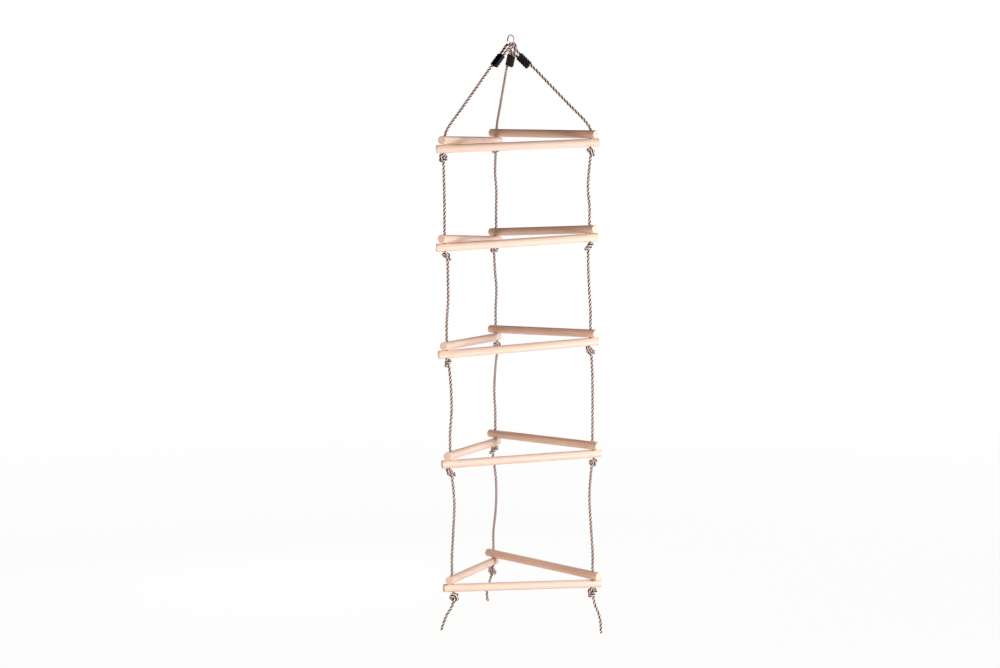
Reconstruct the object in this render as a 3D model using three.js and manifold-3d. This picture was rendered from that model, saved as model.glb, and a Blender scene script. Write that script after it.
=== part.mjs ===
// Three-sided hanging rope ladder: three laid ropes on one steel ring, with a triangle of drilled
// wooden rungs resting on overhand knots at each level. Millimetres, +Z up. The origin is the inside
// top of the ring, where a hook carries it. The front faces -Y.
import * as THREE from 'three';
import { mergeVertices } from 'three/addons/utils/BufferGeometryUtils.js';
import Module from 'manifold-3d';

const wasm = await Module();
wasm.setup();

// Rungs: turned dowels with a chamfer at each end and two holes square to the length.
const RUNG_LENGTH = 560;
const RUNG_RADIUS = 14;
const RUNG_CHAMFER = 2;
const RUNG_SIDES = 16;
const HOLE_RADIUS = 6.5;
const HOLE_SIDES = 10;
const HOLE_SPACING = 500;
const STACK_STEP = 2 * RUNG_RADIUS + 0.6; // from one rung's axis to that of the rung lying on it

// Ropes, and the plain bodies that stand for their overhand knots.
const ROPE_RADIUS = 5;
const ROPE_SIDES = 8;
const ROPE_STEP = 30;
const KNOT_RADIUS = 16.5;
const KNOT_NECK = 10;
const KNOT_HEIGHT = 33;
const KNOT_SIDES = 10;
const KNOT_SEAT = 1.4; // under the rung, which slopes a little over it
const FOOT_GAP = 1.2; // under the knot, where the next length leaves at a slant
const GAP = 0.4;

// Ring of round steel wire. Its plane holds Z and turns away from the front by RING_TURN.
const RING_WIRE = 3;
const RING_RADIUS = 22; // to the middle of the wire
const RING_TURN = 60;

// Clamps: two moulded shells screwed together round both legs of a rope eye.
const CLAMP_LENGTH = 50;
const CLAMP_WIDTH = 27;
const CLAMP_DEPTH = 17;
const CLAMP_CHAMFER = 3;
const CLAMP_TOP = { left: 45, right: 40, back: 43 }; // from the ring wire to the clamp, along the rope
const LEG_OFFSET = 7.2; // from the clamp's middle line to each leg of the eye
const EYE_BEND = 8.9; // radius of the eye's bend over the ring wire
const EYE_STEP = 6;
const DEAD_END = 6; // the cut end of the rope stops this far short of the clamp's foot
const RIB_COUNT = 5;
const RIB_GROOVE = 2.4;
const RIB_DEPTH = 1.1;
const SCREW_SPACING = 26;
const SCREW_RADIUS = 1.7;
const SCREW_HEAD_RADIUS = 3.2;
const SCREW_HEAD = 2;

// The five levels, from the top: how far each is turned about Z, where its middle is, and how high
// the axis of its lowest rung lies over the knot of each rope.
const LEVELS = [
  { turn: 10, middle: [-1, 0], left: -383, right: -364, back: -362 },
  { turn: 10, middle: [-3, 0], left: -715, right: -687, back: -716 },
  { turn: 11, middle: [0, 3], left: -1078, right: -1045, back: -1066 },
  { turn: 12.5, middle: [6, -1], left: -1453, right: -1434, back: -1446 },
  { turn: 14, middle: [6, -3], left: -1880, right: -1890, back: -1884 },
];
const CORNER_ANGLE = { left: 210, right: 330, back: 90 };
// Where each rope's eye sits round the foot of the ring, in degrees from the bottom.
const RING_ANGLE = { left: -50, right: 0, back: 50 };
const LIVE_LEG = { left: -1, right: 1, back: -1 }; // side of the clamp, along the ring's axis

// Height over a level's lowest rung up to which the ropes stay plumb, so that the rungs can lift.
const PLUMB = 105;
const TAKE_UP = 44; // height over level 1's lowest rung where its ropes turn plumb
const TAKE_UP_BEND = 10; // the slanting rope aims this far over that

// Each rope's sideways drift [x, y] between two knots: as it leaves the upper knot, at a quarter,
// and at the middle of the free length. One row for each stretch below level 1.
const DRIFT = {
  left: [
    [[-2, 3], [-3, 4], [-1, 2]],
    [[8, 4], [9, 6], [7, 4]],
    [[8, -3], [11, -4], [9, -3]],
    [[8, 5], [12, 6], [7, 3]],
  ],
  right: [
    [[0, 4], [-4, 5], [-6, 3]],
    [[-5, -3], [-5, -4], [-3, -2]],
    [[6, 3], [5, 4], [3, 2]],
    [[-5, 4], [-10, 5], [-6, 3]],
  ],
  back: [
    [[-5, -2], [-5, -3], [0, -2]],
    [[-4, 3], [-4, 4], [2, 2]],
    [[3, -4], [-1, -4], [-4, -2]],
    [[-8, 2], [4, 3], [7, 4]],
  ],
};
// The loose tails: offsets [x, y, z] from the foot of the last knot to the cut end.
const TAILS = {
  left: [[2, 1, 0], [2, 1, -9], [-5, -2, -24], [-17, -6, -43], [-28, -8, -70], [-37, -9, -97]],
  right: [[5, -2, 0], [5, -2, -9], [10, -5, -30], [21, -8, -55], [28, -8, -88], [30, -6, -127]],
  back: [[-6, 3, 0], [-7, 3, -9], [-14, 6, -28], [-22, 10, -50], [-24, 10, -75], [-21, 9, -101]],
};

const COLOURS = {
  wood: { color: 0xe6c3a0, roughness: 0.6, metalness: 0 },
  rope: { color: 0xc9a79c, roughness: 0.9, metalness: 0 },
  steel: { color: 0xb9bcc0, roughness: 0.25, metalness: 1 },
  zinc: { color: 0x9a9c9e, roughness: 0.4, metalness: 1 },
  plastic: { color: 0x171616, roughness: 0.55, metalness: 0 },
};

const ladder = new THREE.Group();

function addNode(name, geometry, finish) {
  const mesh = new THREE.Mesh(geometry, new THREE.MeshStandardMaterial(COLOURS[finish]));
  mesh.name = name;
  ladder.add(mesh);
  return mesh;
}

// A closed geometry as a solid that can be joined and cut.
function solid(geometry) {
  const bare = geometry.clone();
  bare.deleteAttribute('normal');
  bare.deleteAttribute('uv');
  const merged = mergeVertices(bare, 1e-4);
  return new wasm.Manifold(
    new wasm.Mesh({
      numProp: 3,
      vertProperties: new Float32Array(merged.attributes.position.array),
      triVerts: new Uint32Array(merged.index.array),
    }),
  );
}

function geometryOf(made) {
  const mesh = made.getMesh();
  const geometry = new THREE.BufferGeometry();
  geometry.setAttribute('position', new THREE.BufferAttribute(mesh.vertProperties, 3));
  geometry.setIndex(new THREE.BufferAttribute(mesh.triVerts, 1));
  geometry.computeVertexNormals();
  return geometry;
}

// A polygon-section tube along a list of points. The section's corners lie on the radius.
function tube(points, radius, sides, step) {
  const path = new THREE.CatmullRomCurve3(points, false, 'centripetal');
  const section = new THREE.Shape();
  for (let i = 0; i < sides; i += 1) {
    const angle = ((i + 0.5) / sides) * 2 * Math.PI;
    const x = radius * Math.cos(angle);
    const y = radius * Math.sin(angle);
    if (i === 0) section.moveTo(x, y);
    else section.lineTo(x, y);
  }
  section.closePath();
  const steps = Math.max(1, Math.round(path.getLength() / step));
  return new THREE.ExtrudeGeometry(section, { extrudePath: path, steps, bevelEnabled: false });
}

function cylinder(radius, length, sides) {
  return new THREE.CylinderGeometry(radius, radius, length, sides);
}

// Where a rope passes level k, at a height over the axis of the level's lowest rung there.
function corner(rope, k, over) {
  const level = LEVELS[k];
  const angle = THREE.MathUtils.degToRad(CORNER_ANGLE[rope] + level.turn);
  const reach = HOLE_SPACING / Math.sqrt(3);
  return new THREE.Vector3(
    level.middle[0] + reach * Math.cos(angle),
    level.middle[1] + reach * Math.sin(angle),
    level[rope] + over,
  );
}

// Rungs. The front rung is the lowest of each triangle, the left rung lies on its left end, and the
// right rung lies on the other two.
function rungGeometry() {
  const half = RUNG_LENGTH / 2;
  const profile = [
    new THREE.Vector2(0, -half),
    new THREE.Vector2(RUNG_RADIUS - RUNG_CHAMFER, -half),
    new THREE.Vector2(RUNG_RADIUS, -half + RUNG_CHAMFER),
    new THREE.Vector2(RUNG_RADIUS, half - RUNG_CHAMFER),
    new THREE.Vector2(RUNG_RADIUS - RUNG_CHAMFER, half),
    new THREE.Vector2(0, half),
  ];
  let dowel = solid(new THREE.LatheGeometry(profile, RUNG_SIDES));
  for (const side of [-1, 1]) {
    // The drill's flats, not its corners, lie on the hole's radius.
    const drill = cylinder(HOLE_RADIUS / Math.cos(Math.PI / HOLE_SIDES), 4 * RUNG_RADIUS, HOLE_SIDES);
    drill.rotateX(Math.PI / 2);
    drill.translate(0, (side * HOLE_SPACING) / 2, 0);
    dowel = dowel.subtract(solid(drill));
  }
  return geometryOf(dowel);
}

// Lays a rung, made along Y with its holes along Z, between two points with its holes nearly plumb.
function layRung(mesh, from, to) {
  const along = to.clone().sub(from).normalize();
  const across = along.clone().cross(new THREE.Vector3(0, 0, 1)).normalize();
  const up = across.clone().cross(along);
  mesh.quaternion.setFromRotationMatrix(new THREE.Matrix4().makeBasis(across, along, up));
  mesh.position.copy(from).add(to).multiplyScalar(0.5);
}

const rung = rungGeometry();
for (let k = 0; k < LEVELS.length; k += 1) {
  const front = addNode(`front_rung_${k + 1}`, rung, 'wood');
  const left = addNode(`left_rung_${k + 1}`, rung, 'wood');
  const right = addNode(`right_rung_${k + 1}`, rung, 'wood');
  layRung(front, corner('left', k, 0), corner('right', k, 0));
  layRung(left, corner('left', k, STACK_STEP), corner('back', k, 0));
  layRung(right, corner('back', k, STACK_STEP), corner('right', k, STACK_STEP));
}

// Ring. It is a full torus, laid with its plane upright and turned about Z.
const ringAxis = new THREE.Vector3(
  Math.sin(THREE.MathUtils.degToRad(RING_TURN)),
  -Math.cos(THREE.MathUtils.degToRad(RING_TURN)),
  0,
);
const ringSide = new THREE.Vector3(-ringAxis.y, ringAxis.x, 0);
const ringMiddle = new THREE.Vector3(0, 0, RING_WIRE - RING_RADIUS);
const ring = addNode('hanging_ring', new THREE.TorusGeometry(RING_RADIUS, RING_WIRE, 10, 28), 'steel');
ring.quaternion.setFromRotationMatrix(
  new THREE.Matrix4().makeBasis(ringSide, new THREE.Vector3(0, 0, 1), ringAxis.clone()),
);
ring.position.copy(ringMiddle);

// The line of one rope's clamp: from the middle of the ring wire under its eye towards its corner
// of level 1, with the frame of the clamp on that line.
function clampFrame(rope) {
  const angle = THREE.MathUtils.degToRad(RING_ANGLE[rope]);
  const wire = ringMiddle.clone();
  wire.addScaledVector(ringSide, RING_RADIUS * Math.sin(angle));
  wire.z -= RING_RADIUS * Math.cos(angle);
  const down = corner(rope, 0, TAKE_UP + TAKE_UP_BEND).sub(wire).normalize();
  const wide = ringAxis.clone().addScaledVector(down, -ringAxis.dot(down)).normalize();
  const thick = down.clone().cross(wide);
  const middle = wire.clone().addScaledVector(down, CLAMP_TOP[rope] + CLAMP_LENGTH / 2);
  return { wire, down, wide, thick, middle };
}

// A point on the clamp's own axes: across its width, along the rope, and through its depth.
function clampPoint(frame, wide, down, thick) {
  return frame.middle
    .clone()
    .addScaledVector(frame.wide, wide)
    .addScaledVector(frame.down, down)
    .addScaledVector(frame.thick, thick);
}

// Rope eye: up the live leg, round the wire in a half circle, and down the dead leg.
function eyePoints(rope, frame) {
  const side = LIVE_LEG[rope];
  const points = [];
  const legTop = -CLAMP_LENGTH / 2 - CLAMP_TOP[rope];
  points.push(clampPoint(frame, side * LEG_OFFSET, 0, 0));
  points.push(clampPoint(frame, side * LEG_OFFSET, -CLAMP_LENGTH / 2, 0));
  points.push(clampPoint(frame, side * (LEG_OFFSET + 1), legTop + 22, 0));
  for (let i = 0; i <= 6; i += 1) {
    const turn = (i / 6) * Math.PI;
    const wide = side * EYE_BEND * Math.cos(turn);
    points.push(clampPoint(frame, wide, legTop - EYE_BEND * Math.sin(turn), 0));
  }
  points.push(clampPoint(frame, -side * (LEG_OFFSET + 1), legTop + 22, 0));
  points.push(clampPoint(frame, -side * LEG_OFFSET, -CLAMP_LENGTH / 2, 0));
  points.push(clampPoint(frame, -side * LEG_OFFSET, CLAMP_LENGTH / 2 - DEAD_END, 0));
  return points;
}

// One half of a clamp, on its own axes: X across, Y along the rope, Z out of the split face.
function clampShell() {
  const halfWidth = CLAMP_WIDTH / 2;
  const halfLength = CLAMP_LENGTH / 2;
  const outline = new THREE.Shape();
  outline.moveTo(-halfWidth + CLAMP_CHAMFER, -halfLength);
  outline.lineTo(halfWidth - CLAMP_CHAMFER, -halfLength);
  outline.lineTo(halfWidth, -halfLength + CLAMP_CHAMFER);
  outline.lineTo(halfWidth, halfLength - CLAMP_CHAMFER);
  outline.lineTo(halfWidth - CLAMP_CHAMFER, halfLength);
  outline.lineTo(-halfWidth + CLAMP_CHAMFER, halfLength);
  outline.lineTo(-halfWidth, halfLength - CLAMP_CHAMFER);
  outline.lineTo(-halfWidth, -halfLength + CLAMP_CHAMFER);
  outline.closePath();
  const depth = CLAMP_DEPTH / 2 - GAP / 2;
  const block = new THREE.ExtrudeGeometry(outline, { depth, bevelEnabled: false });
  block.translate(0, 0, GAP / 2);
  let shell = solid(block);
  for (const side of [-1, 1]) {
    const channel = cylinder(ROPE_RADIUS + GAP, 2 * CLAMP_LENGTH, ROPE_SIDES + 2);
    channel.translate(side * LEG_OFFSET, 0, 0);
    shell = shell.subtract(solid(channel));
    const hole = cylinder(SCREW_RADIUS + GAP, 2 * CLAMP_DEPTH, 8);
    hole.rotateX(Math.PI / 2);
    hole.translate(0, (side * SCREW_SPACING) / 2, 0);
    shell = shell.subtract(solid(hole));
    const sink = cylinder(SCREW_HEAD_RADIUS + GAP, 2 * (SCREW_HEAD + GAP), 10);
    sink.rotateX(Math.PI / 2);
    sink.translate(0, (side * SCREW_SPACING) / 2, CLAMP_DEPTH / 2);
    shell = shell.subtract(solid(sink));
  }
  const pitch = CLAMP_LENGTH / (RIB_COUNT + 1);
  for (let i = 0; i < RIB_COUNT; i += 1) {
    for (const side of [-1, 1]) {
      const groove = new THREE.BoxGeometry(2 * RIB_DEPTH, RIB_GROOVE, 2 * CLAMP_DEPTH);
      groove.translate(side * halfWidth, (i + 1) * pitch - halfLength, 0);
      shell = shell.subtract(solid(groove));
    }
  }
  return geometryOf(shell);
}

// A pan-head screw along Z, its head up and its end in the other shell.
function screwGeometry() {
  const foot = -CLAMP_DEPTH / 2 + SCREW_HEAD;
  const head = CLAMP_DEPTH / 2 - SCREW_HEAD;
  const profile = [
    new THREE.Vector2(0, foot),
    new THREE.Vector2(SCREW_RADIUS, foot),
    new THREE.Vector2(SCREW_RADIUS, head),
    new THREE.Vector2(SCREW_HEAD_RADIUS, head),
    new THREE.Vector2(SCREW_HEAD_RADIUS, head + SCREW_HEAD * 0.5),
    new THREE.Vector2(SCREW_HEAD_RADIUS * 0.6, head + SCREW_HEAD),
    new THREE.Vector2(0, head + SCREW_HEAD),
  ];
  const screw = new THREE.LatheGeometry(profile, 10);
  screw.rotateX(Math.PI / 2);
  return screw;
}

function placeOnClamp(mesh, frame, flip, along) {
  const wide = frame.wide.clone().multiplyScalar(flip);
  const thick = frame.thick.clone().multiplyScalar(flip);
  mesh.quaternion.setFromRotationMatrix(new THREE.Matrix4().makeBasis(wide, frame.down, thick.negate()));
  mesh.position.copy(clampPoint(frame, 0, along, 0));
}

// Knot: a barrel hanging just under the lowest rung.
function knotSolid(rope, k) {
  const profile = [
    new THREE.Vector2(0, -KNOT_HEIGHT),
    new THREE.Vector2(KNOT_NECK, -KNOT_HEIGHT),
    new THREE.Vector2(KNOT_RADIUS, -KNOT_HEIGHT * 0.72),
    new THREE.Vector2(KNOT_RADIUS, -KNOT_HEIGHT * 0.25),
    new THREE.Vector2(KNOT_NECK, 0),
    new THREE.Vector2(0, 0),
  ];
  const knot = new THREE.LatheGeometry(profile, KNOT_SIDES);
  knot.rotateX(Math.PI / 2);
  const top = corner(rope, k, -RUNG_RADIUS - KNOT_SEAT);
  knot.translate(top.x, top.y, top.z);
  return solid(knot);
}

function knotFoot(rope, k) {
  return corner(rope, k, -RUNG_RADIUS - KNOT_SEAT - KNOT_HEIGHT);
}

// A rope's plumb stretch, from some height over level k down into its knot.
function plumbPoints(rope, k, from) {
  const inKnot = -RUNG_RADIUS - KNOT_SEAT - KNOT_HEIGHT / 3;
  return [from, 0.62 * from, 0.3 * from, 0, inKnot].map((over) => corner(rope, k, over));
}

const shell = clampShell();
const screw = screwGeometry();
for (const rope of Object.keys(CORNER_ANGLE)) {
  const frame = clampFrame(rope);
  addNode(`${rope}_eye`, tube(eyePoints(rope, frame), ROPE_RADIUS, ROPE_SIDES, EYE_STEP), 'rope');
  placeOnClamp(addNode(`${rope}_clamp_front`, shell, 'plastic'), frame, -1, 0);
  placeOnClamp(addNode(`${rope}_clamp_back`, shell, 'plastic'), frame, 1, 0);
  for (const [index, side] of [-1, 1].entries()) {
    const node = addNode(`${rope}_clamp_screw_${index + 1}`, screw, 'zinc');
    placeOnClamp(node, frame, 1, (side * SCREW_SPACING) / 2);
  }

  // The first stretch runs from the middle of the clamp straight to level 1 and into its first knot.
  const live = LIVE_LEG[rope] * LEG_OFFSET;
  const entry = corner(rope, 0, TAKE_UP + TAKE_UP_BEND);
  const bridle = [
    clampPoint(frame, live, GAP, 0),
    clampPoint(frame, live, CLAMP_LENGTH / 2, 0),
    clampPoint(frame, live, CLAMP_LENGTH / 2 + 30, 0),
  ];
  const last = bridle[bridle.length - 1];
  for (const share of [0.3, 0.6, 0.94]) {
    bridle.push(last.clone().lerp(entry, share));
  }
  const plumb = plumbPoints(rope, 0, TAKE_UP);
  const first = tube([...bridle, ...plumb], ROPE_RADIUS, ROPE_SIDES, ROPE_STEP / 2);
  addNode(`${rope}_rope_1`, geometryOf(solid(first).add(knotSolid(rope, 0))), 'rope');

  // Each further stretch hangs from the foot of one knot to the next.
  for (let k = 1; k < LEVELS.length; k += 1) {
    const top = knotFoot(rope, k - 1);
    const bottom = corner(rope, k, PLUMB);
    const points = DRIFT[rope][k - 1].map(([x, y], index) => {
      const point = top.clone().lerp(bottom, [0, 0.3, 0.65][index]);
      return point.add(new THREE.Vector3(x, y, index === 0 ? -FOOT_GAP : 0));
    });
    const stretch = tube([...points, ...plumbPoints(rope, k, PLUMB)], ROPE_RADIUS, ROPE_SIDES, ROPE_STEP);
    addNode(`${rope}_rope_${k + 1}`, geometryOf(solid(stretch).add(knotSolid(rope, k))), 'rope');
  }

  const foot = knotFoot(rope, LEVELS.length - 1);
  const tail = TAILS[rope].map(([x, y, z]) => foot.clone().add(new THREE.Vector3(x, y, z - FOOT_GAP)));
  addNode(`${rope}_tail`, tube(tail, ROPE_RADIUS, ROPE_SIDES, ROPE_STEP / 2), 'rope');
}

export default ladder;
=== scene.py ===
"""Three-sided hanging rope ladder: wooden rungs stacked in triangles on knotted laid rope."""
import math

import bpy
import numpy as np
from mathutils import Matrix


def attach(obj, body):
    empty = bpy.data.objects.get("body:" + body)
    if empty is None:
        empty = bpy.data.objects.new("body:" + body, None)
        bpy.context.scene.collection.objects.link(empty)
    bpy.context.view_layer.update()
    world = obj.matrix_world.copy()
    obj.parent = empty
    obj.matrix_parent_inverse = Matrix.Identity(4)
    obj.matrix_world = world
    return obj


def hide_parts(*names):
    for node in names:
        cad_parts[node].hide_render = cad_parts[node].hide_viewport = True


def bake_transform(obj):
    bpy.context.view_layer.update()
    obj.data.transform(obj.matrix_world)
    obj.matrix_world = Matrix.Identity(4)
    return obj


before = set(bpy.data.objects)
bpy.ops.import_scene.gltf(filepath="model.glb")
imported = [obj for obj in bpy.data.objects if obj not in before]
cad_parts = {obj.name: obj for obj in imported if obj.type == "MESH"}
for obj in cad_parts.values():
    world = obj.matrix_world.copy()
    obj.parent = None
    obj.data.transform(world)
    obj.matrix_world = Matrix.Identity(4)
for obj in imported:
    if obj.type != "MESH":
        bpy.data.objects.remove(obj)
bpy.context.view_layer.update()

# Camera, light and floor.
# The camera stands about eight metres off and a little under the ring, and looks down to the
# ladder's middle. A soft light stands to the right of the ladder at half its height, a weak one
# fills from the left in front, and a third lights the back.
eye_height = -0.265
eye_distance = 7.8
eye_tilt = 0.0974  # radians down from level
camera_data = bpy.data.cameras.new("studio_camera")
camera_data.sensor_width = 36.0
camera_data.lens = 81.2
camera_data.shift_x = -0.011
camera_data.clip_end = 100.0
camera = bpy.data.objects.new("studio_camera", camera_data)
camera.location = (0.0, -eye_distance, eye_height)
camera.rotation_euler = (math.pi / 2 - eye_tilt, 0.0, 0.0)
bpy.context.scene.collection.objects.link(camera)
bpy.context.scene.camera = camera
bpy.context.scene.view_settings.view_transform = "Standard"


def linear(hex_colour):
    """Linear colour of an sRGB hex value: each channel is (c + 0.055) / 1.055 to the power 2.4."""
    channels = [int(hex_colour[i:i + 2], 16) / 255 for i in (1, 3, 5)]
    curve = [c / 12.92 if c <= 0.04045 else ((c + 0.055) / 1.055) ** 2.4 for c in channels]
    return (*curve, 1.0)


def add(tree, kind, settings=None, **inputs):
    """Adds one node, sets its properties, and fills its inputs with values or links. An input goes by
    its name, with _ for a space, or by i and its number where names repeat."""
    node = tree.nodes.new(kind)
    for key, value in (settings or {}).items():
        setattr(node, key, value)
    for key, value in inputs.items():
        numbered = key[0] == "i" and key[1:].isdigit()
        socket = node.inputs[int(key[1:])] if numbered else node.inputs[key.replace("_", " ")]
        if isinstance(value, bpy.types.NodeSocket):
            tree.links.new(value, socket)
        else:
            socket.default_value = value
    return node


def new_material(name):
    """A material with only its Principled shader and output."""
    material = bpy.data.materials.new(name)
    material.use_nodes = True
    shader = material.node_tree.nodes["Principled BSDF"]
    return material, material.node_tree, shader


def soft_light(name, place, aim, size, power, colour):
    """A square area light at a place, turned to its aim."""
    data = bpy.data.lights.new(name, "AREA")
    data.size = size
    data.energy = power
    data.color = linear(colour)[:3]
    light = bpy.data.objects.new(name, data)
    light.location = place
    direction = np.array(aim) - np.array(place)
    level = math.hypot(direction[0], direction[1])
    light.rotation_euler = (
        math.atan2(level, -direction[2]), 0.0, math.atan2(direction[1], direction[0]) - math.pi / 2
    )
    bpy.context.scene.collection.objects.link(light)


soft_light("key_light", (3.25, -2.35, -0.70), (0.0, 0.0, -1.0), 1.1, 151.0, "#FFFEFF")
soft_light("front_fill", (-1.5, -2.6, -1.35), (0.0, 0.0, -1.15), 0.9, 27.0, "#FFEDE2")
soft_light("back_fill", (-1.3, 3.4, -0.9), (0.0, 0.0, -1.0), 1.2, 62.0, "#FFF3EA")

world = bpy.data.worlds.new("white_studio")
bpy.context.scene.world = world
world.use_nodes = True
sky = world.node_tree
sky.nodes.clear()
seen = add(sky, "ShaderNodeBackground", Color=(1.0, 1.0, 1.0, 1.0), Strength=1.0)
# The studio's own light is warm from its walls, and falls off towards the ceiling.
sky_place = add(sky, "ShaderNodeTexCoord")
sky_axes = add(sky, "ShaderNodeSeparateXYZ", Vector=sky_place.outputs["Generated"])
sky_power = add(
    sky, "ShaderNodeMapRange", Value=sky_axes.outputs["Z"], i1=-0.3, i2=0.9, i3=0.42, i4=0.20
)
cast = add(sky, "ShaderNodeBackground", Color=linear("#FFCDB5"), Strength=sky_power.outputs[0])
# What shines off the steel is a tall white card on the right, and the dim studio on the left.
card_power = add(
    sky, "ShaderNodeMapRange", Value=sky_axes.outputs["X"], i1=0.40, i2=0.85, i3=0.02, i4=1.6
)
card = add(sky, "ShaderNodeBackground", Color=(1.0, 1.0, 1.0, 1.0), Strength=card_power.outputs[0])
ray = add(sky, "ShaderNodeLightPath")
lit = add(
    sky, "ShaderNodeMixShader",
    i0=ray.outputs["Is Glossy Ray"], i1=cast.outputs[0], i2=card.outputs[0],
)
both = add(
    sky, "ShaderNodeMixShader",
    i0=ray.outputs["Is Camera Ray"], i1=lit.outputs[0], i2=seen.outputs[0],
)
add(sky, "ShaderNodeOutputWorld", Surface=both.outputs[0])

FLOOR = -2.45
FLOOR_REACH = 30.0
floor_data = bpy.data.meshes.new("floor")
floor_corners = [
    (-FLOOR_REACH, -FLOOR_REACH, FLOOR), (FLOOR_REACH, -FLOOR_REACH, FLOOR),
    (FLOOR_REACH, FLOOR_REACH, FLOOR), (-FLOOR_REACH, FLOOR_REACH, FLOOR),
]
floor_data.from_pydata(floor_corners, [], [(0, 1, 2, 3)])
floor = bpy.data.objects.new("floor", floor_data)
bpy.context.scene.collection.objects.link(floor)
# White paper, washed with its own light until it is nearly as bright as the studio round it.
paper, paper_tree, paper_shader = new_material("white_studio_paper")
paper_shader.inputs["Base Color"].default_value = linear("#F4F2F0")
paper_shader.inputs["Roughness"].default_value = 0.9
paper_place = add(paper_tree, "ShaderNodeTexCoord")
paper_reach = add(
    paper_tree, "ShaderNodeVectorMath", {"operation": "LENGTH"}, i0=paper_place.outputs["Object"]
)
paper_fade = add(
    paper_tree, "ShaderNodeMapRange",
    Value=paper_reach.outputs["Value"], i1=2.4, i2=9.0, i3=0.95, i4=1.0,
)
paper_ray = add(paper_tree, "ShaderNodeLightPath")
paper_share = add(
    paper_tree, "ShaderNodeMath", {"operation": "MULTIPLY"},
    i0=paper_fade.outputs[0], i1=paper_ray.outputs["Is Camera Ray"],
)
wash = add(paper_tree, "ShaderNodeEmission", Color=(1.0, 1.0, 1.0, 1.0), Strength=1.0)
paper_mix = add(
    paper_tree, "ShaderNodeMixShader",
    i0=paper_share.outputs[0], i1=paper_shader.outputs[0], i2=wash.outputs[0],
)
paper_tree.links.new(paper_mix.outputs[0], paper_tree.nodes["Material Output"].inputs["Surface"])
floor_data.materials.append(paper)

# Ropes.
# Three lengths of 10 mm laid rope. Each starts in its clamp, makes an eye round the ring, comes back
# through the clamp, and runs down through the rungs' holes with an overhand knot under each level.
ROPES = ("left", "right", "back")
CORNER_ANGLE = {"left": 210.0, "right": 330.0, "back": 90.0}
# The levels from the top: turn about Z in degrees, middle, and the height of the lowest rung's axis
# over the knot of each rope.
LEVELS = (
    {"turn": 10.0, "middle": (-0.001, 0.000), "left": -0.383, "right": -0.364, "back": -0.362},
    {"turn": 10.0, "middle": (-0.003, 0.000), "left": -0.715, "right": -0.687, "back": -0.716},
    {"turn": 11.0, "middle": (0.000, 0.003), "left": -1.078, "right": -1.045, "back": -1.066},
    {"turn": 12.5, "middle": (0.006, -0.001), "left": -1.453, "right": -1.434, "back": -1.446},
    {"turn": 14.0, "middle": (0.006, -0.003), "left": -1.880, "right": -1.890, "back": -1.884},
)
# Sideways drift (x, y) of each stretch under level 1: as it leaves the knot above, at 30 % and at
# 65 % of the way down to where it turns plumb over the next level.
DRIFT = {
    "left": (
        ((-0.002, 0.003), (-0.003, 0.004), (-0.001, 0.002)),
        ((0.008, 0.004), (0.009, 0.006), (0.007, 0.004)),
        ((0.008, -0.003), (0.011, -0.004), (0.009, -0.003)),
        ((0.008, 0.005), (0.012, 0.006), (0.007, 0.003)),
    ),
    "right": (
        ((0.000, 0.004), (-0.004, 0.005), (-0.006, 0.003)),
        ((-0.005, -0.003), (-0.005, -0.004), (-0.003, -0.002)),
        ((0.006, 0.003), (0.005, 0.004), (0.003, 0.002)),
        ((-0.005, 0.004), (-0.010, 0.005), (-0.006, 0.003)),
    ),
    "back": (
        ((-0.005, -0.002), (-0.005, -0.003), (0.000, -0.002)),
        ((-0.004, 0.003), (-0.004, 0.004), (0.002, 0.002)),
        ((0.003, -0.004), (-0.001, -0.004), (-0.004, -0.002)),
        ((-0.008, 0.002), (0.004, 0.003), (0.007, 0.004)),
    ),
}
# Each loose tail, from the foot of the last knot to its cut end.
TAILS = {
    "left": (
        (0.002, 0.001, 0.0), (-0.005, -0.002, -0.024), (-0.017, -0.006, -0.043),
        (-0.028, -0.008, -0.070), (-0.037, -0.009, -0.097),
    ),
    "right": (
        (0.005, -0.002, 0.0), (0.010, -0.005, -0.030), (0.021, -0.008, -0.055),
        (0.028, -0.008, -0.088), (0.030, -0.006, -0.127),
    ),
    "back": (
        (-0.006, 0.003, 0.0), (-0.014, 0.006, -0.028), (-0.022, 0.010, -0.050),
        (-0.024, 0.010, -0.075), (-0.021, 0.009, -0.101),
    ),
}
ROPE = 0.010
RUNG_RADIUS = 0.014
HOLE_SPACING = 0.500
PLUMB = 0.105  # each rope runs plumb from here over a level's lowest rung
TAKE_UP = 0.044  # and from here over level 1, where the spreading ropes come in
TAKE_UP_BEND = 0.010  # the bend between the two
KNOT_SEAT = 0.0014  # slack between a rung and its knot
KNOT_HEIGHT = 0.033
KNOT_REACH = 0.0175  # how far the knot's own turns go over and under its middle
KNOT_FADE = (0.026, 0.008)  # the rope is fuller within this distance of a knot, and over this much
# Each knot's stretch across, inwards and down, the depth of its middle under the rung, and how much
# fuller its rope is. The last one on a rope is looser and wider.
KNOT = {"stretch": (1.17, 1.03, 0.97), "depth": 0.0164, "fuller": 0.08}
LAST_KNOT = {"stretch": (1.38, 1.2, 1.067), "depth": 0.0182, "fuller": 0.16}
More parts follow.
